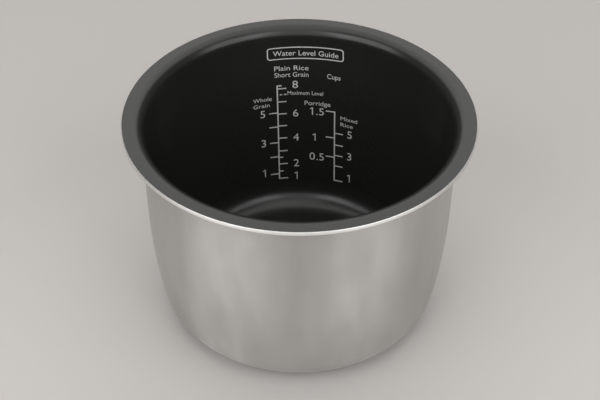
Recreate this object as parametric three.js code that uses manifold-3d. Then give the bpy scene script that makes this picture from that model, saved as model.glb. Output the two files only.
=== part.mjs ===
// Removable inner cooking pot of a rice cooker: a drawn steel skin, an aluminium core and a
// non-stick coat, with a water gauge printed in pale ink on the inside wall.
// Millimetres, +Z up. The origin is the centre of the base, on the surface the pot stands on.
// The gauge is on the +Y side of the wall.
import * as THREE from "three";
import { mergeVertices } from "three/addons/utils/BufferGeometryUtils.js";
import Module from "manifold-3d";

const wasm = await Module();
wasm.setup();

// ---- driving dimensions of the pot ----
const pot_height = 148;
const rim_radius = 110; // trimmed edge of the flange
const coat_margin = 1; // bare metal between the coat and the trimmed edge
const wall_radius = 98.5; // outside of the straight wall
const straight_depth = 63; // from the rim down to where the wall starts to draw in
const belly_radius = 430; // long curve of the lower wall
const base_radius = 22.5; // outside corner between wall and base
const flange_fillet = 5; // under the flange

// ---- the three layers, from the outside in ----
const skin_thickness = 0.6;
const core_thickness = 1.1;
const coat_thickness = 0.3;
const layer_gap = 0.2; // stands in for the bond between two layers

// ---- printed gauge ----
const ink_thickness = 0.3;
const ink_gap = 0.3;
const stroke_width = 0.9;
const numeral_stroke = 0.8;
const numeral_width = 4.2;
const numeral_height = 6.3;
const point_size = 1;
const print_lean = THREE.MathUtils.degToRad(0.8); // the stems lean a little as they rise
const upright_depth = 70; // where the lean moves nothing
const tick_length = 6.4;
const half_tick_length = 3.2;
const left_stem_x = -15.5;
const right_stem_x = 25.5;
const top_tick_rise = 2.5; // above the 8-cup tick
const max_line_drop = 5.2; // below the 8-cup tick
const dash_length = 1.7;
const dash_starts = [1.7, 4.8]; // from the left stem
const label_frame = { x: 5, depth: 18.8, width: 53.2, height: 10, corner: 2.2, stroke: 0.8 };

// Volume of water at each tick, as a share of what the pot holds to the brim, smallest first.
const plain_ticks = [0.111, 0.192, 0.268, 0.345, 0.42, 0.494, 0.57, 0.651];
const plain_half_ticks = [0.151, 0.23];
const whole_ticks = [0.137, 0.235, 0.319, 0.415, 0.502];
const porridge_ticks = [0.244, 0.359, 0.519];
const soft_ticks = [0.114, 0.195, 0.256, 0.318, 0.389];

// ---- facets ----
const turn_segments = 48;
const flange_segments = 3;
const belly_segments = 3;
const base_segments = 5;
const loop_segments = 12;
const frame_step = 4;
const level_step = 0.05;
const least_step = 0.02; // two grid lines closer than this are one

// ---- worked out from the values above ----
const wall_thickness = skin_thickness + core_thickness + coat_thickness + 2 * layer_gap;
const coat_radius = rim_radius - coat_margin;
const facet_ratio = Math.cos(Math.PI / turn_segments);
const belly_centre = new THREE.Vector2(wall_radius - belly_radius, pot_height - straight_depth);
const base_centre = new THREE.Vector2(
  belly_centre.x + Math.sqrt((belly_radius - base_radius) ** 2 - (belly_centre.y - base_radius) ** 2),
  base_radius,
);
const belly_turn = Math.atan2(belly_centre.y - base_centre.y, base_centre.x - belly_centre.x);
const flange_centre = new THREE.Vector2(
  wall_radius + flange_fillet,
  pot_height - wall_thickness - flange_fillet,
);

// Points on an arc about a centre, in a plane of radius and height.
function arc(centre, radius, from, to, segments) {
  const points = [];
  for (let i = 0; i <= segments; i += 1) {
    const angle = from + ((to - from) * i) / segments;
    points.push(new THREE.Vector2(
      centre.x + radius * Math.cos(angle),
      centre.y + radius * Math.sin(angle),
    ));
  }
  return points;
}

// The pot's section at a depth into the wall: 0 is the outside, wall_thickness the inside.
// It runs from the flange's edge, down the wall, to the axis.
function section(depth, edge_radius) {
  return [
    new THREE.Vector2(edge_radius, flange_centre.y + flange_fillet + depth),
    ...arc(flange_centre, flange_fillet + depth, Math.PI / 2, Math.PI, flange_segments),
    ...arc(belly_centre, belly_radius - depth, 0, -belly_turn, belly_segments),
    ...arc(base_centre, base_radius - depth, -belly_turn, -Math.PI / 2, base_segments).slice(1),
    new THREE.Vector2(0, depth),
  ];
}

// One layer of the pot, turned about Z.
function layer(outer_depth, thickness, edge_radius) {
  const outside = section(outer_depth, edge_radius);
  const inside = section(outer_depth + thickness, edge_radius);
  const geometry = new THREE.LatheGeometry([...outside.reverse(), ...inside], turn_segments);
  geometry.rotateX(Math.PI / 2);
  return geometry;
}

const inner_section = section(wall_thickness, coat_radius);

// Radius of the inside wall at a height.
function innerRadius(height) {
  for (let i = 1; i < inner_section.length; i += 1) {
    const upper = inner_section[i - 1];
    const lower = inner_section[i];
    if (height <= upper.y && height > lower.y) {
      const share = (upper.y - height) / (upper.y - lower.y);
      return THREE.MathUtils.lerp(upper.x, lower.x, share);
    }
  }
  return 0;
}

// Volume that the pot holds from its floor up to a height.
function volumeTo(height) {
  let volume = 0;
  for (let at = wall_thickness; at < height; at += level_step) {
    volume += Math.PI * innerRadius(at + level_step / 2) ** 2 * level_step;
  }
  return volume;
}
const brim_volume = volumeTo(pot_height - level_step);

// Height of the water's surface when the pot holds a share of its brim volume.
function waterLevel(share) {
  let height = wall_thickness;
  let volume = 0;
  while (volume < share * brim_volume) {
    volume += Math.PI * innerRadius(height + level_step / 2) ** 2 * level_step;
    height += level_step;
  }
  return height;
}

// A ribbon of ink along a line of points in the flat print: x across, y up, ink from z = 0 to 1
// ink thickness. A closed line makes a ring. The ends of an open one are square.
function ribbon(points, width, closed = false) {
  const count = points.length;
  const corners = [];
  for (let i = 0; i < count; i += 1) {
    const before = closed ? points[(i + count - 1) % count] : points[Math.max(i - 1, 0)];
    const after = closed ? points[(i + 1) % count] : points[Math.min(i + 1, count - 1)];
    const here = points[i];
    const into = here.clone().sub(before).normalize();
    const out = after.clone().sub(here).normalize();
    const along = into.clone().add(out).normalize();
    const lengthen = 1 / Math.max(along.dot(out.lengthSq() > 0 ? out : into), 0.5);
    const side = new THREE.Vector2(-along.y, along.x).multiplyScalar((width / 2) * lengthen);
    corners.push([here.clone().add(side), here.clone().sub(side)]);
  }
  const vertices = [];
  for (const [left, right] of corners) {
    vertices.push(left.x, left.y, ink_thickness, right.x, right.y, ink_thickness);
    vertices.push(right.x, right.y, 0, left.x, left.y, 0);
  }
  const faces = [];
  const quad = (a, b, c, d) => faces.push(a, b, c, a, c, d);
  const last = closed ? count : count - 1;
  for (let i = 0; i < last; i += 1) {
    const here = 4 * i;
    const next = 4 * ((i + 1) % count);
    for (let k = 0; k < 4; k += 1) {
      const m = (k + 1) % 4;
      quad(here + k, here + m, next + m, next + k);
    }
  }
  if (!closed) {
    const end = 4 * (count - 1);
    quad(3, 2, 1, 0);
    quad(end, end + 1, end + 2, end + 3);
  }
  const geometry = new THREE.BufferGeometry();
  geometry.setAttribute("position", new THREE.Float32BufferAttribute(vertices, 3));
  geometry.setIndex(faces);
  return geometry;
}

// Joins flat ribbons that cross or touch into one closed solid.
function joined(geometries) {
  let solid = null;
  for (const geometry of geometries) {
    const merged = mergeVertices(geometry, 1e-4);
    const next = new wasm.Manifold(new wasm.Mesh({
      numProp: 3,
      vertProperties: Float32Array.from(merged.attributes.position.array),
      triVerts: Uint32Array.from(merged.index.array),
    }));
    solid = solid === null ? next : solid.add(next);
  }
  const mesh = solid.getMesh();
  const result = new THREE.BufferGeometry();
  result.setAttribute("position", new THREE.Float32BufferAttribute(mesh.vertProperties, 3));
  result.setIndex(Array.from(mesh.triVerts));
  return result;
}

// Bends a flat print geometry onto the inside of the wall. Its x is the distance round the wall
// from +Y towards +X, its y is the height above the base.
function wrapped(geometry) {
  const position = geometry.attributes.position;
  const upright_height = pot_height - upright_depth;
  const ink_back = ink_gap + ink_thickness;
  for (let i = 0; i < position.count; i += 1) {
    const height = position.getY(i);
    const x = position.getX(i) - (height - upright_height) * Math.tan(print_lean);
    const wall = innerRadius(height);
    const radius = wall * facet_ratio - ink_back + ink_thickness - position.getZ(i);
    const azimuth = x / wall;
    position.setXYZ(i, radius * Math.sin(azimuth), radius * Math.cos(azimuth), height);
  }
  return geometry;
}

const point = (x, y) => new THREE.Vector2(x, y);

// An ellipse's arc in the flat print, anticlockwise for a rising angle in degrees.
function oval(x, y, half_width, half_height, from = 0, to = 360) {
  const segments = Math.max(4, Math.round((loop_segments * Math.abs(to - from)) / 360));
  const closed = Math.abs(to - from) === 360;
  const points = [];
  for (let i = 0; i < segments + (closed ? 0 : 1); i += 1) {
    const angle = THREE.MathUtils.degToRad(from + ((to - from) * i) / segments);
    points.push(point(x + half_width * Math.cos(angle), y + half_height * Math.sin(angle)));
  }
  return points;
}

// Strokes of each numeral, centred on its own middle.
const half_w = (numeral_width - numeral_stroke) / 2;
const half_h = (numeral_height - numeral_stroke) / 2;
const nib = numeral_stroke / 2;
const open = (...points) => ribbon(points, numeral_stroke);
const curve = (...values) => ribbon(oval(...values), numeral_stroke);
const loop = (...values) => ribbon(oval(...values), numeral_stroke, true);
const numerals = {
  0: () => [loop(0, 0, half_w, half_h)],
  1: () => [
    open(point(0.3, -half_h - nib), point(0.3, half_h + nib)),
    open(point(0.3, half_h), point(-half_w * 0.6, half_h * 0.6)),
  ],
  2: () => [
    curve(0, half_h * 0.45, half_w, half_h * 0.55, 160, -40),
    open(point(half_w * 0.82, half_h * 0.14), point(-half_w, -half_h)),
    open(point(-half_w - nib, -half_h), point(half_w + nib, -half_h)),
  ],
  3: () => [
    curve(-half_w * 0.1, half_h * 0.5, half_w * 0.9, half_h * 0.5, 150, -90),
    curve(-half_w * 0.1, -half_h * 0.5, half_w * 1.1, half_h * 0.5, 90, -150),
  ],
  4: () => [
    open(point(half_w * 0.5, -half_h - nib), point(half_w * 0.5, half_h + nib)),
    open(point(half_w * 0.5, half_h), point(-half_w, -half_h * 0.4)),
    open(point(-half_w - nib, -half_h * 0.4), point(half_w + nib, -half_h * 0.4)),
  ],
  5: () => [
    open(point(half_w * 0.9, half_h), point(-half_w * 0.75 - nib, half_h)),
    open(point(-half_w * 0.75, half_h), point(-half_w * 0.75, -half_h * 0.02)),
    curve(-half_w * 0.1, -half_h * 0.4, half_w * 1.05, half_h * 0.6, 130, -140),
  ],
  6: () => [
    loop(0, -half_h * 0.42, half_w, half_h * 0.58),
    curve(half_w * 0.9, -half_h * 0.3, half_w * 1.9, half_h * 1.3, 90, 170),
  ],
  8: () => [
    loop(0, half_h * 0.52, half_w * 0.86, half_h * 0.48),
    loop(0, -half_h * 0.48, half_w, half_h * 0.52),
  ],
};

const ink = new THREE.MeshStandardMaterial({ color: 0xb9b9b6, roughness: 0.6, metalness: 0 });
const steel = new THREE.MeshStandardMaterial({ color: 0xa7a29b, roughness: 0.35, metalness: 1 });
const aluminium = new THREE.MeshStandardMaterial({ color: 0xd6d4cf, roughness: 0.3, metalness: 1 });
const coat = new THREE.MeshStandardMaterial({ color: 0x2a2a2a, roughness: 0.45, metalness: 0 });

const pot = new THREE.Group();

function place(name, geometry, material) {
  const mesh = new THREE.Mesh(geometry, material);
  mesh.name = name;
  pot.add(mesh);
}

function numeral(name, digit, x, height) {
  const geometry = joined(numerals[digit]());
  geometry.translate(x, height, 0);
  place(name, wrapped(geometry), ink);
}

function decimalPoint(name, x, height) {
  const half = point_size / 2;
  const geometry = ribbon([point(x - half, height), point(x + half, height)], point_size);
  place(name, wrapped(geometry), ink);
}

// A flat plate of ink over the filled cells of a grid, as one closed solid. xs and ys are the
// grid's lines, and filled(x, y) says whether the cell with that middle holds ink.
function gridPlate(xs, ys, filled) {
  const vertices = [];
  for (const z of [0, ink_thickness]) {
    for (const y of ys) {
      for (const x of xs) {
        vertices.push(x, y, z);
      }
    }
  }
  const faces = [];
  const quad = (a, b, c, d) => faces.push(a, b, c, a, c, d);
  const corner = (i, j, level) => (level * ys.length + j) * xs.length + i;
  const has = (i, j) => (
    i >= 0 && j >= 0 && i < xs.length - 1 && j < ys.length - 1
    && filled((xs[i] + xs[i + 1]) / 2, (ys[j] + ys[j + 1]) / 2)
  );
  const wall = (i, j, m, n) => quad(corner(i, j, 0), corner(m, n, 0), corner(m, n, 1), corner(i, j, 1));
  for (let j = 0; j < ys.length - 1; j += 1) {
    for (let i = 0; i < xs.length - 1; i += 1) {
      if (has(i, j)) {
        quad(corner(i, j, 1), corner(i + 1, j, 1), corner(i + 1, j + 1, 1), corner(i, j + 1, 1));
        quad(corner(i, j, 0), corner(i, j + 1, 0), corner(i + 1, j + 1, 0), corner(i + 1, j, 0));
        if (!has(i, j - 1)) wall(i, j, i + 1, j);
        if (!has(i + 1, j)) wall(i + 1, j, i + 1, j + 1);
        if (!has(i, j + 1)) wall(i + 1, j + 1, i, j + 1);
        if (!has(i - 1, j)) wall(i, j + 1, i, j);
      }
    }
  }
  const geometry = new THREE.BufferGeometry();
  geometry.setAttribute("position", new THREE.Float32BufferAttribute(vertices, 3));
  geometry.setIndex(faces);
  return geometry;
}

// A stem with ticks: each tick is [height, signed length from the stem's middle].
function scale(name, stem_x, ticks) {
  const half = stroke_width / 2;
  const lines = (values) => {
    const sorted = [...values].sort((a, b) => a - b);
    return sorted.filter((value, i) => i === 0 || value - sorted[i - 1] > least_step);
  };
  const lengths = ticks.map(([, length]) => length);
  const xs = lines([-half, half, ...lengths]).map((x) => stem_x + x);
  const ys = lines(ticks.flatMap(([height]) => [height - half, height + half]));
  const inked = (x, y) => Math.abs(x - stem_x) < half || ticks.some(([height, length]) => (
    Math.abs(y - height) < half && (x - stem_x) * length > 0 && Math.abs(x - stem_x) < Math.abs(length)
  ));
  place(name, wrapped(gridPlate(xs, ys, inked)), ink);
}

// ---- the pot ----
const core_depth = skin_thickness + layer_gap;
const coat_depth = core_depth + core_thickness + layer_gap;
place("steel_skin", layer(0, skin_thickness, rim_radius), steel);
place("aluminium_core", layer(core_depth, core_thickness, rim_radius), aluminium);
place("nonstick_coat", layer(coat_depth, coat_thickness, coat_radius), coat);

// ---- the gauge's two scales ----
const plain = plain_ticks.map(waterLevel);
const whole = whole_ticks.map(waterLevel);
const porridge = porridge_ticks.map(waterLevel);
const soft = soft_ticks.map(waterLevel);
const top_of_plain = plain[plain.length - 1];
scale("left_scale", left_stem_x, [
  ...plain.map((height) => [height, tick_length]),
  ...plain_half_ticks.map((share) => [waterLevel(share), half_tick_length]),
  ...whole.map((height) => [height, -tick_length]),
  [top_of_plain + top_tick_rise, half_tick_length],
]);
scale("right_scale", right_stem_x, [
  ...porridge.map((height) => [height, -tick_length]),
  ...soft.map((height) => [height, tick_length]),
]);

// ---- the fill line's two dashes ----
dash_starts.forEach((start, i) => {
  const height = top_of_plain - max_line_drop;
  const from = point(left_stem_x + start, height);
  const to = point(left_stem_x + start + dash_length, height);
  place(`max_dash_${i + 1}`, wrapped(ribbon([from, to], stroke_width)), ink);
});

// ---- numerals: each scale's numbered ticks, and how far a numeral stands above its tick ----
const plain_x = -2.7;
const whole_x = -26.5;
const soft_x = 36.9;
const numbered = [
  ["plain", plain, plain_x, [[1, 1.9], [2, 0.4], [4, 0.4], [6, 0.4], [8, 3.2]]],
  ["whole", whole, whole_x, [[1, 1.9], [3, 0.8], [5, 0.4]]],
  ["soft", soft, soft_x, [[1, 4.2], [3, 1.4], [5, 1.1]]],
];
for (const [word, heights, x, digits] of numbered) {
  for (const [digit, rise] of digits) {
    numeral(`${word}_numeral_${digit}`, digit, x, heights[digit - 1] + rise);
  }
}

// ---- the porridge scale counts in halves: 0.5, 1 and 1.5 ----
const porridge_drop = 1.2;
const porridge_lead_x = 9;
const porridge_point_x = 12.6;
const porridge_last_x = 15.9;
const porridge_one_x = 10.8;
const decimals = [["half", 0, 0], ["one_half", 1, 2]];
for (const [word, lead, index] of decimals) {
  const height = porridge[index] - porridge_drop;
  numeral(`porridge_${word}_lead_${lead}`, lead, porridge_lead_x, height);
  const foot = height - numeral_height / 2 + point_size / 2;
  decimalPoint(`porridge_${word}_point`, porridge_point_x, foot);
  numeral(`porridge_${word}_last_5`, 5, porridge_last_x, height);
}
numeral("porridge_numeral_1", 1, porridge_one_x, porridge[1] - porridge_drop);

// ---- the frame above the gauge ----
function labelFrame() {
  const { x, depth, width, height, corner } = label_frame;
  const middle = pot_height - depth;
  const run = width / 2 - corner;
  const rise = height / 2 - corner;
  const steps = Math.round((2 * run) / frame_step);
  const corners = [[1, 1, 0], [-1, 1, 90], [-1, -1, 180], [1, -1, 270]];
  const points = [];
  for (const [side, up, start] of corners) {
    points.push(...oval(x + side * run, middle + up * rise, corner, corner, start, start + 90));
    if (start % 180 === 0) {
      for (let i = 1; i < steps; i += 1) {
        const along = side * run * (1 - (2 * i) / steps);
        points.push(point(x + along, middle + up * (rise + corner)));
      }
    }
  }
  return ribbon(points, label_frame.stroke, true);
}
place("label_frame", wrapped(labelFrame()), ink);

export default pot;
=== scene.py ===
import math

import bmesh
import bpy
from mathutils import Matrix, Vector


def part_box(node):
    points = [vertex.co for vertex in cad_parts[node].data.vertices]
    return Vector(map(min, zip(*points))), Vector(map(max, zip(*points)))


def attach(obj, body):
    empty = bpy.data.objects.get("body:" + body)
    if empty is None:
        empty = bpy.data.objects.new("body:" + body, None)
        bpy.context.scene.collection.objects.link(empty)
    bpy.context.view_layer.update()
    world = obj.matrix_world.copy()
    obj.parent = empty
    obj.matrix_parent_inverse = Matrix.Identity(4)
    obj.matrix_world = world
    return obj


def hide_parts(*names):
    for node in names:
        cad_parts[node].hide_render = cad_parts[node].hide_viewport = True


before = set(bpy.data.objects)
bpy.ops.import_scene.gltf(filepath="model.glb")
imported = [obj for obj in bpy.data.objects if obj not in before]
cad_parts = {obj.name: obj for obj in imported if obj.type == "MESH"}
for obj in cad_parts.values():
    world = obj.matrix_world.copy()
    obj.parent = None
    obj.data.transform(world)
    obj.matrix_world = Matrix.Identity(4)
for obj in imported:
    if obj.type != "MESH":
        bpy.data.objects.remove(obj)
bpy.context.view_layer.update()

MM = 0.001

# ---- the pot's sizes ----
_, skin_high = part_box("steel_skin")
_, coat_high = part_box("nonstick_coat")
RIM_R = skin_high.x
RIM_Z = coat_high.z
WALL_T = 2.4 * MM
SKIN_T = 0.35 * MM
COAT_T = 0.12 * MM
LAYER_GAP = 0.02 * MM
BARE_EDGE = 0.55 * MM
EDGE_DROP = 2.0 * MM
EDGE_ROUND = 0.15 * MM
WALL_R = 98.5 * MM
STRAIGHT_DEPTH = 63 * MM
BELLY_R = 430 * MM
BASE_R = 22.5 * MM
FLANGE_FILLET = 5 * MM

BELLY_CENTRE = Vector((WALL_R - BELLY_R, 0, RIM_Z - STRAIGHT_DEPTH))
BASE_CENTRE = Vector((
    BELLY_CENTRE.x + math.sqrt((BELLY_R - BASE_R) ** 2 - (BELLY_CENTRE.z - BASE_R) ** 2),
    0,
    BASE_R,
))
BELLY_TURN = math.atan2(BELLY_CENTRE.z - BASE_CENTRE.z, BASE_CENTRE.x - BELLY_CENTRE.x)
FLANGE_CENTRE = Vector((WALL_R + FLANGE_FILLET, 0, RIM_Z - WALL_T - FLANGE_FILLET))

# ---- how finely the pot is turned ----
TURN_STEPS = 256
FLANGE_STEPS = 16
BELLY_STEPS = 8
BASE_STEPS = 20
EDGE_STEPS = 10
CORNER_STEPS = 4
SHARP_ANGLE = math.radians(35)
SAME_POINT = 1e-7
NO_LENGTH = 1e-8

# ---- the gauge's sizes: x runs round the wall from +Y towards +X, and z is a height ----
INK_T = 0.03 * MM
INK_LIFT = 0.02 * MM
STROKE = 0.9 * MM
NUMERAL_STROKE = 0.75 * MM
PRINT_LEAN = math.radians(0.8)
UPRIGHT_Z = RIM_Z - 70 * MM
TICK = 6.4 * MM
HALF_TICK = 3.2 * MM
LEFT_STEM = -15.5 * MM
RIGHT_STEM = 25.5 * MM
STEM_CUTS = 20
TICK_CUTS = 3
TOP_TICK_RISE = 2.5 * MM
MAX_DROP = 5.2 * MM
DASH = 1.7 * MM
DASH_STARTS = (1.7 * MM, 4.8 * MM)
NUMERAL_H = 6.3 * MM
ONE_FOOT = 0.4 * MM
ONE_FLAG = 1.7 * MM
ONE_FLAG_DROPS = (1.4 * MM, 0.3 * MM)
PORRIDGE_DROP = 1.2 * MM
PORRIDGE_ONE_X = 10.8 * MM
PORRIDGE_LEAD_X = 9 * MM
PORRIDGE_POINT_X = 12.6 * MM
PORRIDGE_LAST_X = 15.9 * MM
FRAME_X = 4.8 * MM
FRAME_Z = RIM_Z - 18.9 * MM
FRAME_W = 53.6 * MM
FRAME_H = 10 * MM
FRAME_CORNER = 2.2 * MM
FRAME_STROKE = 0.75 * MM
FRAME_TILT = math.radians(0.7)
FRAME_CORNER_STEPS = 6
FRAME_SIDE_STEPS = 14

# The font's own sizes, as shares of its line height.
FONT_CAP = 0.7
FONT_SAME_POINT = 1e-6

# Volume of water at each tick, as a share of the cubic metres that the pot holds to the brim.
PLAIN_SHARES = (0.111, 0.192, 0.268, 0.345, 0.42, 0.494, 0.57, 0.651)
PLAIN_HALF_SHARES = (0.151, 0.23)
WHOLE_SHARES = (0.137, 0.235, 0.319, 0.415, 0.502)
PORRIDGE_SHARES = (0.244, 0.359, 0.519)
SOFT_SHARES = (0.114, 0.195, 0.256, 0.318, 0.389)
BRIM_VOLUME = 4.072e-3
LEVEL_STEP = 0.05 * MM

# A Mix node's colour sockets share their names with its other sockets, so they go by number.
MIX_A, MIX_B, MIX_RESULT = 6, 7, 2


# ---------------------------------------------------------------- helpers


def linear(hex_colour):
    """An sRGB hex colour as linear RGBA."""
    values = [int(hex_colour[i:i + 2], 16) / 255 for i in (1, 3, 5)]
    return [v / 12.92 if v <= 0.04045 else ((v + 0.055) / 1.055) ** 2.4 for v in values] + [1]


def add(tree, kind, links=None, values=None, **settings):
    """Adds a node. Links and values go to its inputs by name or number, settings are its own."""
    node = tree.nodes.new("ShaderNode" + kind)
    for name, setting in settings.items():
        setattr(node, name, setting)
    for name, value in (values or {}).items():
        node.inputs[name].default_value = value
    for name, source in (links or {}).items():
        tree.links.new(source, node.inputs[name])
    return node


def material(name, values):
    """A new material with one Principled shader, and its plain values. Gives all three."""
    made = bpy.data.materials.new(name)
    made.use_nodes = True
    tree = made.node_tree
    tree.nodes.clear()
    shader = add(tree, "BsdfPrincipled", values=values)
    add(tree, "OutputMaterial", {"Surface": shader.outputs[0]})
    return made, tree, shader


def grid(tree, x_mm, y_mm, z_mm, turn=0.0):
    """Object coordinates in which a pattern's features measure about x, y and z millimetres.
    The pattern is turned about Z by some degrees."""
    where = add(tree, "TexCoord").outputs["Object"]
    values = {
        "Scale": [1 / (size * MM) for size in (x_mm, y_mm, z_mm)],
        "Rotation": (0, 0, math.radians(turn)),
    }
    return add(tree, "Mapping", {"Vector": where}, values).outputs[0]


def piece(name, work, finish, replaced):
    """Puts a finished bmesh in the scene as a piece of the pot."""
    data = bpy.data.meshes.new(name)
    work.to_mesh(data)
    work.free()
    data.materials.append(finish)
    made = bpy.data.objects.new(name, data)
    bpy.context.scene.collection.objects.link(made)
    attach(made, "root")
    if replaced:
        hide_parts(*replaced)


def arc(centre, radius, start, end, steps):
    """Points on an arc about a centre, in the plane of x and z."""
    angles = (start + (end - start) * i / steps for i in range(steps + 1))
    return [centre + radius * Vector((math.cos(a), 0, math.sin(a))) for a in angles]


def section(depth, edge_r):
    """The pot's section at a depth into the wall, from the flange's edge to the axis."""
    return (
        [Vector((edge_r, 0, FLANGE_CENTRE.z + FLANGE_FILLET + depth))]
        + arc(FLANGE_CENTRE, FLANGE_FILLET + depth, math.pi / 2, math.pi, FLANGE_STEPS)
        + arc(BELLY_CENTRE, BELLY_R - depth, 0, -BELLY_TURN, BELLY_STEPS)
        + arc(BASE_CENTRE, BASE_R - depth, -BELLY_TURN, -math.pi / 2, BASE_STEPS)[1:]
        + [Vector((0, 0, depth))]
    )


def turned(outline):
    """A closed outline that starts and ends on the axis, turned about Z into a closed solid."""
    work = bmesh.new()
    points = [work.verts.new(p) for p in outline]
    edges = [work.edges.new(pair) for pair in zip(points, points[1:])]
    bmesh.ops.spin(
        work, geom=points + edges, cent=(0, 0, 0), axis=(0, 0, 1),
        angle=2 * math.pi, steps=TURN_STEPS, use_merge=True,
    )
    bmesh.ops.remove_doubles(work, verts=work.verts, dist=SAME_POINT)
    bmesh.ops.dissolve_degenerate(work, edges=work.edges, dist=NO_LENGTH)
    bmesh.ops.recalc_face_normals(work, faces=work.faces)
    for face in work.faces:
        face.smooth = True
    for edge in work.edges:
        edge.smooth = edge.calc_face_angle(0) < SHARP_ANGLE
    return work


# ---------------------------------------------------------------- camera

CAMERA_DISTANCE = 744.5 * MM
CAMERA_ELEVATION = math.radians(36.495)
CAMERA_PITCH = math.radians(40.6125)
CAMERA_YAW = math.radians(0.052)
CAMERA_ROLL = math.radians(0.184)
LENS_MM = 72
SENSOR_MM = 36
NEAR_CLIP = 10 * MM

camera_data = bpy.data.cameras.new("camera")
camera_data.lens = LENS_MM
camera_data.sensor_width = SENSOR_MM
camera_data.clip_start = NEAR_CLIP
camera = bpy.data.objects.new("camera", camera_data)
bpy.context.scene.collection.objects.link(camera)
camera.matrix_world = (
    Matrix.Translation((
        0,
        -CAMERA_DISTANCE * math.cos(CAMERA_ELEVATION),
        RIM_Z + CAMERA_DISTANCE * math.sin(CAMERA_ELEVATION),
    ))
    @ Matrix.Rotation(-CAMERA_YAW, 4, "Z")
    @ Matrix.Rotation(math.pi / 2 - CAMERA_PITCH, 4, "X")
    @ Matrix.Rotation(CAMERA_ROLL, 4, "Z")
)
bpy.context.scene.camera = camera
bpy.context.scene.view_settings.view_transform = "Standard"


# ---------------------------------------------------------------- finishes


def drawn_steel():
    """Ferritic stainless sheet, deep drawn and satin brushed. Its soft neutral grey carries
    painted
    reflection: broad swells of lighter and darker tone stand in for the surroundings mirrored in
    the wall, and the upright smears and cloudy patches are partly uneven metal and partly painted
    reflection of the floor. The brushing spreads every highlight into an upright band."""
    made, tree, shader = material("drawn_stainless_satin", {
        "Metallic": 1.0, "Anisotropic": 0.85, "Anisotropic Rotation": 0.25,
    })
    # Painted reflection: broad swells lighten and darken the colour in wide upright lobes,
    # standing in for the surroundings mirrored in the wall.
    painted_reflection_swells = add(
        tree, "TexNoise", {"Vector": grid(tree, 48, 48, 170, turn=130)},
        {"Scale": 1, "Detail": 1.0},
    )
    # The smears and clouds are partly uneven metal and partly painted reflection of the floor's
    # texture.
    smears = add(
        tree, "TexNoise", {"Vector": grid(tree, 11, 11, 60)}, {"Scale": 1, "Detail": 3.0},
    )
    clouds = add(
        tree, "TexNoise", {"Vector": grid(tree, 20, 20, 40)}, {"Scale": 1, "Detail": 6.0},
    )
    fine = add(tree, "Math", {0: smears.outputs[0], 1: clouds.outputs[0]}, operation="ADD")
    reflection_swell_weight = 3.5
    tone = add(
        tree, "Math", {0: painted_reflection_swells.outputs[0], 2: fine.outputs[0]}, {1: reflection_swell_weight},
        operation="MULTIPLY_ADD",
    )
    share = add(
        tree, "MapRange", {"Value": tone.outputs[0]}, {"From Min": 1.65, "From Max": 3.7},
    )
    # The base colour carries the painted reflection of the swells, smears and clouds.
    colour = add(
        tree, "Mix", {0: share.outputs[0]},
        {MIX_A: linear("#bab9b7"), MIX_B: linear("#d7d6d4")}, data_type="RGBA",
    )
    tree.links.new(colour.outputs[MIX_RESULT], shader.inputs["Base Color"])
    rough = add(tree, "MapRange", {"Value": clouds.outputs[0]}, {
        "From Min": 0.3, "From Max": 0.7, "To Min": 0.34, "To Max": 0.46,
    })
    tree.links.new(rough.outputs[0], shader.inputs["Roughness"])
    bump = add(
        tree, "Bump", {"Height": smears.outputs[0]}, {"Strength": 0.08, "Distance": 1 * MM},
    )
    tree.links.new(bump.outputs[0], shader.inputs["Normal"])
    tangent = add(tree, "Tangent", direction_type="RADIAL", axis="Z")
    tree.links.new(tangent.outputs[0], shader.inputs["Tangent"])
    return made


def turned_aluminium():
    """Aluminium, turned at the trimmed edge: bright, with fine rings that spread light upright.
    The rings are drawn 0.4 mm apart, coarser than the real ones, so that they can show."""
    made, tree, shader = material("turned_aluminium", {
        "Metallic": 1.0, "Roughness": 0.5, "Anisotropic": 0.7, "Anisotropic Rotation": 0.25,
    })
    rings = add(
        tree, "TexNoise", {"Vector": grid(tree, 6, 6, 0.4)}, {"Scale": 1, "Detail": 2.0},
    )
    colour = add(
        tree, "Mix", {0: rings.outputs[0]},
        {MIX_A: linear("#e8e8e6"), MIX_B: linear("#f4f3f1")}, data_type="RGBA",
    )
    tree.links.new(colour.outputs[MIX_RESULT], shader.inputs["Base Color"])
    tangent = add(tree, "Tangent", direction_type="RADIAL", axis="Z")
    tree.links.new(tangent.outputs[0], shader.inputs["Tangent"])
    return made


def baked_nonstick():
    """Fluoropolymer non-stick, sprayed and baked: near black, satin, with the spray's fine grain.
    The grain is drawn 0.9 mm wide, coarser than the real one, so that it can show."""
    made, tree, shader = material("baked_nonstick", {"Roughness": 0.24, "IOR": 1.5})
    grain = add(
        tree, "TexNoise", {"Vector": grid(tree, 0.9, 0.9, 0.9)}, {"Scale": 1, "Detail": 2.0},
    )
    colour = add(
        tree, "Mix", {0: grain.outputs[0]},
        {MIX_A: linear("#1f1f1e"), MIX_B: linear("#272726")}, data_type="RGBA",
    )
    tree.links.new(colour.outputs[MIX_RESULT], shader.inputs["Base Color"])
    bump = add(
        tree, "Bump", {"Height": grain.outputs[0]}, {"Strength": 0.08, "Distance": 0.2 * MM},
    )
    tree.links.new(bump.outputs[0], shader.inputs["Normal"])
    return made


def printed_ink():
    """Pad-printed ink: flat pale grey, very slightly uneven where the pad lifted."""
    made, tree, shader = material("pad_printed_ink", {"Roughness": 0.6})
    uneven = add(
        tree, "TexNoise", {"Vector": grid(tree, 2.5, 2.5, 2.5)}, {"Scale": 1, "Detail": 2.0},
    )
    colour = add(
        tree, "Mix", {0: uneven.outputs[0]},
        {MIX_A: linear("#cbcbc8"), MIX_B: linear("#dcdcd9")}, data_type="RGBA",
    )
    tree.links.new(colour.outputs[MIX_RESULT], shader.inputs["Base Color"])
    return made


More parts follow.
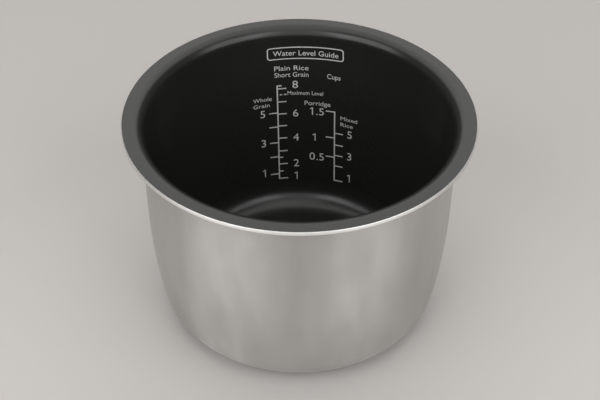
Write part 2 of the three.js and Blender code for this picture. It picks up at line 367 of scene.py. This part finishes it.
STEEL = drawn_steel()
ALUMINIUM = turned_aluminium()
COAT = baked_nonstick()
INK = printed_ink()


# ---------------------------------------------------------------- the pot


def drawn_skin():
    """The steel layer. Its outer corner under the flange is broken by a small round."""
    edge_r = RIM_R - EDGE_ROUND
    outside = section(0, edge_r)
    corner = Vector((edge_r, 0, outside[0].z + EDGE_ROUND))
    edge = arc(corner, EDGE_ROUND, -math.pi / 2, 0, CORNER_STEPS)[1:]
    return turned(outside[::-1] + edge + section(SKIN_T, RIM_R))


def heat_core():
    """The aluminium between skin and coat. Its edge is left bare, and rounded deeper than wide."""
    outside = section(SKIN_T + LAYER_GAP, RIM_R)
    inside = section(WALL_T - COAT_T - LAYER_GAP, RIM_R - BARE_EDGE - LAYER_GAP)
    shoulder = inside[0] + Vector((0, 0, COAT_T))
    edge = [
        Vector((RIM_R + BARE_EDGE * (point.x - 1), 0, RIM_Z + EDGE_DROP * (point.z - 1)))
        for point in arc(Vector((0, 0, 0)), 1, 0, math.pi / 2, EDGE_STEPS)
    ]
    return turned(outside[::-1] + edge + [shoulder] + inside)


def satin_coat():
    """The coat on the inside and on top of the flange, which stops short of the bare edge."""
    edge_r = RIM_R - BARE_EDGE - LAYER_GAP
    return turned(section(WALL_T - COAT_T, edge_r)[::-1] + section(WALL_T, edge_r))


piece("drawn_skin", drawn_skin(), STEEL, ["steel_skin"])
piece("heat_core", heat_core(), ALUMINIUM, ["aluminium_core"])
piece("satin_coat", satin_coat(), COAT, ["nonstick_coat"])


# ---------------------------------------------------------------- the gauge


def inner_radius(z):
    """Radius of the inside wall at a height."""
    if z >= BELLY_CENTRE.z:
        return WALL_R - WALL_T
    belly_end = BELLY_CENTRE.z - (BELLY_R - WALL_T) * math.sin(BELLY_TURN)
    if z >= belly_end:
        return BELLY_CENTRE.x + math.sqrt((BELLY_R - WALL_T) ** 2 - (z - BELLY_CENTRE.z) ** 2)
    return BASE_CENTRE.x + math.sqrt(max(0, (BASE_R - WALL_T) ** 2 - (z - BASE_CENTRE.z) ** 2))


def water_level(share):
    """Height of the water when the pot holds a share of its brim volume."""
    z, volume = WALL_T, 0
    while volume < share * BRIM_VOLUME:
        z += LEVEL_STEP
        volume += math.pi * inner_radius(z) ** 2 * LEVEL_STEP
    return z


def printed(name, work, replaced=()):
    """Gives flat faces, x across and y up, the ink's thickness, and bends them onto the wall."""
    raised = bmesh.ops.extrude_face_region(work, geom=work.faces, use_keep_orig=True)["geom"]
    raised = [part for part in raised if isinstance(part, bmesh.types.BMVert)]
    bmesh.ops.translate(work, verts=raised, vec=(0, 0, INK_T))
    for vert in work.verts:
        z = vert.co.y
        wall = inner_radius(z)
        azimuth = (vert.co.x - (z - UPRIGHT_Z) * math.tan(PRINT_LEAN)) / wall
        radius = wall - INK_LIFT - vert.co.z
        vert.co = (radius * math.sin(azimuth), radius * math.cos(azimuth), z)
    bmesh.ops.recalc_face_normals(work, faces=work.faces)
    piece(name, work, INK, replaced)


def stroke(work, start, end, width, cuts=1):
    """A flat stroke of ink from start to end, cut across so that it can bend."""
    start, end = Vector(start), Vector(end)
    run = end - start
    placed = (
        Matrix.Translation(((start + end) / 2).to_3d())
        @ Matrix.Rotation(math.atan2(run.y, run.x), 4, "Z")
        @ Matrix.Diagonal((run.length, width, 1, 1))
    )
    bmesh.ops.create_grid(work, x_segments=cuts, y_segments=1, size=0.5, matrix=placed)


def scale(name, stem, ticks, replaced):
    """A stem with ticks, each tick a height and a signed length from the stem."""
    work = bmesh.new()
    half = STROKE / 2
    heights = [height for height, _ in ticks]
    stroke(work, (stem, min(heights) - half), (stem, max(heights) + half), STROKE, STEM_CUTS)
    for height, length in ticks:
        start = (stem + math.copysign(half, length), height)
        stroke(work, start, (stem + length, height), STROKE, TICK_CUTS)
    printed(name, work, [replaced])


plain = [water_level(share) for share in PLAIN_SHARES]
whole = [water_level(share) for share in WHOLE_SHARES]
porridge = [water_level(share) for share in PORRIDGE_SHARES]
soft = [water_level(share) for share in SOFT_SHARES]

scale("left_gauge", LEFT_STEM, (
    [(z, TICK) for z in plain]
    + [(water_level(share), HALF_TICK) for share in PLAIN_HALF_SHARES]
    + [(z, -TICK) for z in whole]
    + [(plain[-1] + TOP_TICK_RISE, HALF_TICK)]
), "left_scale")
scale("right_gauge", RIGHT_STEM, (
    [(z, -TICK) for z in porridge] + [(z, TICK) for z in soft]
), "right_scale")

fill_z = plain[-1] - MAX_DROP
for i, start in enumerate(DASH_STARTS):
    dash = bmesh.new()
    stroke(dash, (LEFT_STEM + start, fill_z), (LEFT_STEM + start + DASH, fill_z), STROKE)
    printed(f"fill_dash_{i + 1}", dash, [f"max_dash_{i + 1}"])


def lettering(text, x, z, cap_height, width=None):
    """Flat letters with the middle of their capitals at x, z, and as wide as asked."""
    curve = bpy.data.curves.new("lettering", "FONT")
    curve.body = text
    curve.align_x = "CENTER"
    curve.resolution_u = 4
    line = bpy.data.objects.new("lettering", curve)
    bpy.context.scene.collection.objects.link(line)
    bpy.context.view_layer.update()
    shaped = line.evaluated_get(bpy.context.evaluated_depsgraph_get())
    flat = bpy.data.meshes.new_from_object(shaped)
    bpy.data.objects.remove(line)
    work = bmesh.new()
    work.from_mesh(flat)
    bpy.data.meshes.remove(flat)
    bmesh.ops.remove_doubles(work, verts=work.verts, dist=FONT_SAME_POINT)
    reach = [vert.co.x for vert in work.verts]
    left, right = min(reach), max(reach)
    grow = cap_height / FONT_CAP
    stretch = width / (right - left) if width else grow
    bmesh.ops.translate(work, verts=work.verts, vec=(-(right + left) / 2, -FONT_CAP / 2, 0))
    bmesh.ops.scale(work, verts=work.verts, vec=(stretch, grow, 1))
    bmesh.ops.translate(work, verts=work.verts, vec=(x, z, 0))
    return work


def figure_one(x, z):
    """The numeral 1: an upright with a flag."""
    work = bmesh.new()
    foot_x = x + ONE_FOOT
    bottom, top = z - NUMERAL_H / 2, z + NUMERAL_H / 2
    flag_low, flag_high = (top - drop for drop in ONE_FLAG_DROPS)
    stroke(work, (foot_x, bottom), (foot_x, top), NUMERAL_STROKE, 4)
    stroke(work, (foot_x - ONE_FLAG, flag_low), (foot_x, flag_high), NUMERAL_STROKE, 2)
    return work


def numeral(name, digit, x, z, replaced):
    """One numeral of the gauge. The 1 is built from strokes, and the others are letters."""
    flat = figure_one(x, z) if digit == "1" else lettering(digit, x, z, NUMERAL_H)
    printed(name, flat, [replaced])


# Each scale's ticks and its numerals' x, then each numeral and its rise above its tick.
NUMBERED = (
    ("plain", plain, -2.7, ((1, 1.9), (2, 0.4), (4, 0.4), (6, 0.4), (8, 3.2))),
    ("whole", whole, -26.5, ((1, 1.9), (3, 0.8), (5, 0.4))),
    ("soft", soft, 36.9, ((1, 4.2), (3, 1.4), (5, 1.1))),
)
for word, heights, x, digits in NUMBERED:
    for digit, rise in digits:
        height = heights[digit - 1] + rise * MM
        numeral(f"{word}_{digit}", str(digit), x * MM, height, f"{word}_numeral_{digit}")

numeral("porridge_1", "1", PORRIDGE_ONE_X, porridge[1] - PORRIDGE_DROP, "porridge_numeral_1")
for word, lead, level in (("half", "0", 0), ("one_half", "1", 2)):
    height = porridge[level] - PORRIDGE_DROP
    lead_node, last_node = f"porridge_{word}_lead_{lead}", f"porridge_{word}_last_5"
    numeral(f"porridge_{word}_lead", lead, PORRIDGE_LEAD_X, height, lead_node)
    numeral(f"porridge_{word}_last", "5", PORRIDGE_LAST_X, height, last_node)
    point = bmesh.new()
    half = STROKE / 2
    foot = height - NUMERAL_H / 2 + half
    stroke(point, (PORRIDGE_POINT_X - half, foot), (PORRIDGE_POINT_X + half, foot), STROKE)
    printed(f"porridge_{word}_point", point, [f"porridge_{word}_point"])


def label_frame():
    """The rounded frame above the gauge, a ring between two rounded rectangles."""
    work = bmesh.new()
    edges = []
    run = FRAME_W / 2 - FRAME_CORNER
    rise = FRAME_H / 2 - FRAME_CORNER
    for inset in (0, FRAME_STROKE):
        radius = FRAME_CORNER - inset
        points = []
        for quarter, (side, up) in enumerate(((1, 1), (-1, 1), (-1, -1), (1, -1))):
            centre = Vector((FRAME_X + side * run, 0, FRAME_Z + up * rise))
            start = quarter * math.pi / 2
            corner = arc(centre, radius, start, start + math.pi / 2, FRAME_CORNER_STEPS)
            points += [(p.x, p.z, 0) for p in corner]
            if quarter % 2 == 0:
                step = -2 * side * run / FRAME_SIDE_STEPS
                level = points[-1][1]
                points += [(centre.x + i * step, level, 0) for i in range(1, FRAME_SIDE_STEPS)]
        verts = [work.verts.new(p) for p in points]
        edges += [work.edges.new(pair) for pair in zip(verts, verts[1:] + verts[:1])]
    bmesh.ops.bridge_loops(work, edges=edges)
    tilt = Matrix.Rotation(FRAME_TILT, 3, "Z")
    bmesh.ops.rotate(work, verts=work.verts, cent=(FRAME_X, FRAME_Z, 0), matrix=tilt)
    return work


printed("label_border", label_frame(), ["label_frame"])

# Plain words where the gauge carries its labels: text, middle x, depth below the rim, height of
# the capitals and width.
WORDS = (
    ("label_words", "Water Level Guide", 5, 19.0, 4.2, 45.5),
    ("head_words_1", "Plain Rice", -5.2, 31.4, 3.9, 24.0),
    ("head_words_2", "Short Grain", -5.2, 37.0, 3.9, 24.0),
    ("unit_word", "Cups", 24.7, 37.2, 4.1, 9.6),
    ("fill_words", "Maximum Level", 4.4, 52.7, 3.4, 25.2),
    ("left_words_1", "Whole", -26.4, 56.6, 3.3, 13.6),
    ("left_words_2", "Grain", -27.2, 61.9, 3.3, 12.0),
    ("middle_word", "Porridge", 13.1, 61.4, 3.7, 18.6),
    ("right_words_1", "Mixed", 36.2, 71.6, 3.3, 12.6),
    ("right_words_2", "Rice", 34.6, 76.9, 3.3, 9.4),
)
for name, text, x, depth, height, width in WORDS:
    printed(name, lettering(text, x * MM, RIM_Z - depth * MM, height * MM, width * MM))


# ---------------------------------------------------------------- floor and light

FLOOR_HALF = 3.0

# The tent's roof: the way to its middle, the cosines from it between which its light fades in,
# and its light at the sides and at the roof.
TENT_CROWN = Vector((0, 0.47, 0.88)).normalized()
TENT_FADE = (0.65, 0.86)
TENT_LIGHT = (0.12, 1.36)

# The soft boxes: name, place, aim, width and depth in metres, power in watts, and whether they
# show in reflections. The front one's light comes from two boxes in one place, so that the
# polished parts mirror only a share of it.
POT_MIDDLE = (0, 0, 0.1)
POT_FRONT = (0, -1.8, 1.3), (0, 0, 0.05), (2.8, 2.0)
SOFT_BOXES = (
    ("top_light", (0.1, -0.5, 1.6), POT_MIDDLE, (1.0, 0.55), 1.7, True),
    ("left_light", (-1.26, -1.05, 1.15), POT_MIDDLE, (1.6, 1.6), 16, True),
    ("right_light", (1.26, -1.05, 1.15), POT_MIDDLE, (1.6, 1.6), 14.5, True),
    ("front_light", *POT_FRONT, 15.5, True),
    ("front_fill", *POT_FRONT, 7, False),
)


def floor():
    """A plain pale floor, matt."""
    work = bmesh.new()
    bmesh.ops.create_grid(work, x_segments=1, y_segments=1, size=FLOOR_HALF)
    data = bpy.data.meshes.new("floor")
    work.to_mesh(data)
    work.free()
    made = bpy.data.objects.new("floor", data)
    finish, _, _ = material("pale_floor", {
        "Base Color": linear("#bebab7"), "Roughness": 0.9, "Specular IOR Level": 0.2,
    })
    data.materials.append(finish)
    bpy.context.scene.collection.objects.link(made)


def light_tent():
    """A soft light tent: an even bright roof that fades to dim sides."""
    world = bpy.data.worlds.new("light_tent")
    world.use_nodes = True
    tree = world.node_tree
    tree.nodes.clear()
    where = add(tree, "TexCoord").outputs["Generated"]
    roof = add(tree, "VectorMath", {0: where}, {1: TENT_CROWN}, operation="DOT_PRODUCT")
    strength = add(tree, "MapRange", {"Value": roof.outputs["Value"]}, {
        "From Min": TENT_FADE[0], "From Max": TENT_FADE[1],
        "To Min": TENT_LIGHT[0], "To Max": TENT_LIGHT[1],
    }, interpolation_type="SMOOTHSTEP")
    warm_white = (1.0, 0.99, 0.975, 1)
    sky = add(tree, "Background", {"Strength": strength.outputs[0]}, {"Color": warm_white})
    add(tree, "OutputWorld", {"Surface": sky.outputs[0]})
    bpy.context.scene.world = world


def soft_box(name, place, aim, size, power, mirrored):
    """An area light with an aim. One that isn't mirrored lights, but shows in no reflection."""
    light = bpy.data.lights.new(name, "AREA")
    light.shape = "RECTANGLE"
    light.size, light.size_y = size
    light.energy = power
    made = bpy.data.objects.new(name, light)
    made.location = place
    made.rotation_euler = (Vector(aim) - Vector(place)).to_track_quat("-Z", "Y").to_euler()
    made.visible_camera = False
    made.visible_glossy = mirrored
    bpy.context.scene.collection.objects.link(made)


floor()
light_tent()
for box in SOFT_BOXES:
    soft_box(*box)
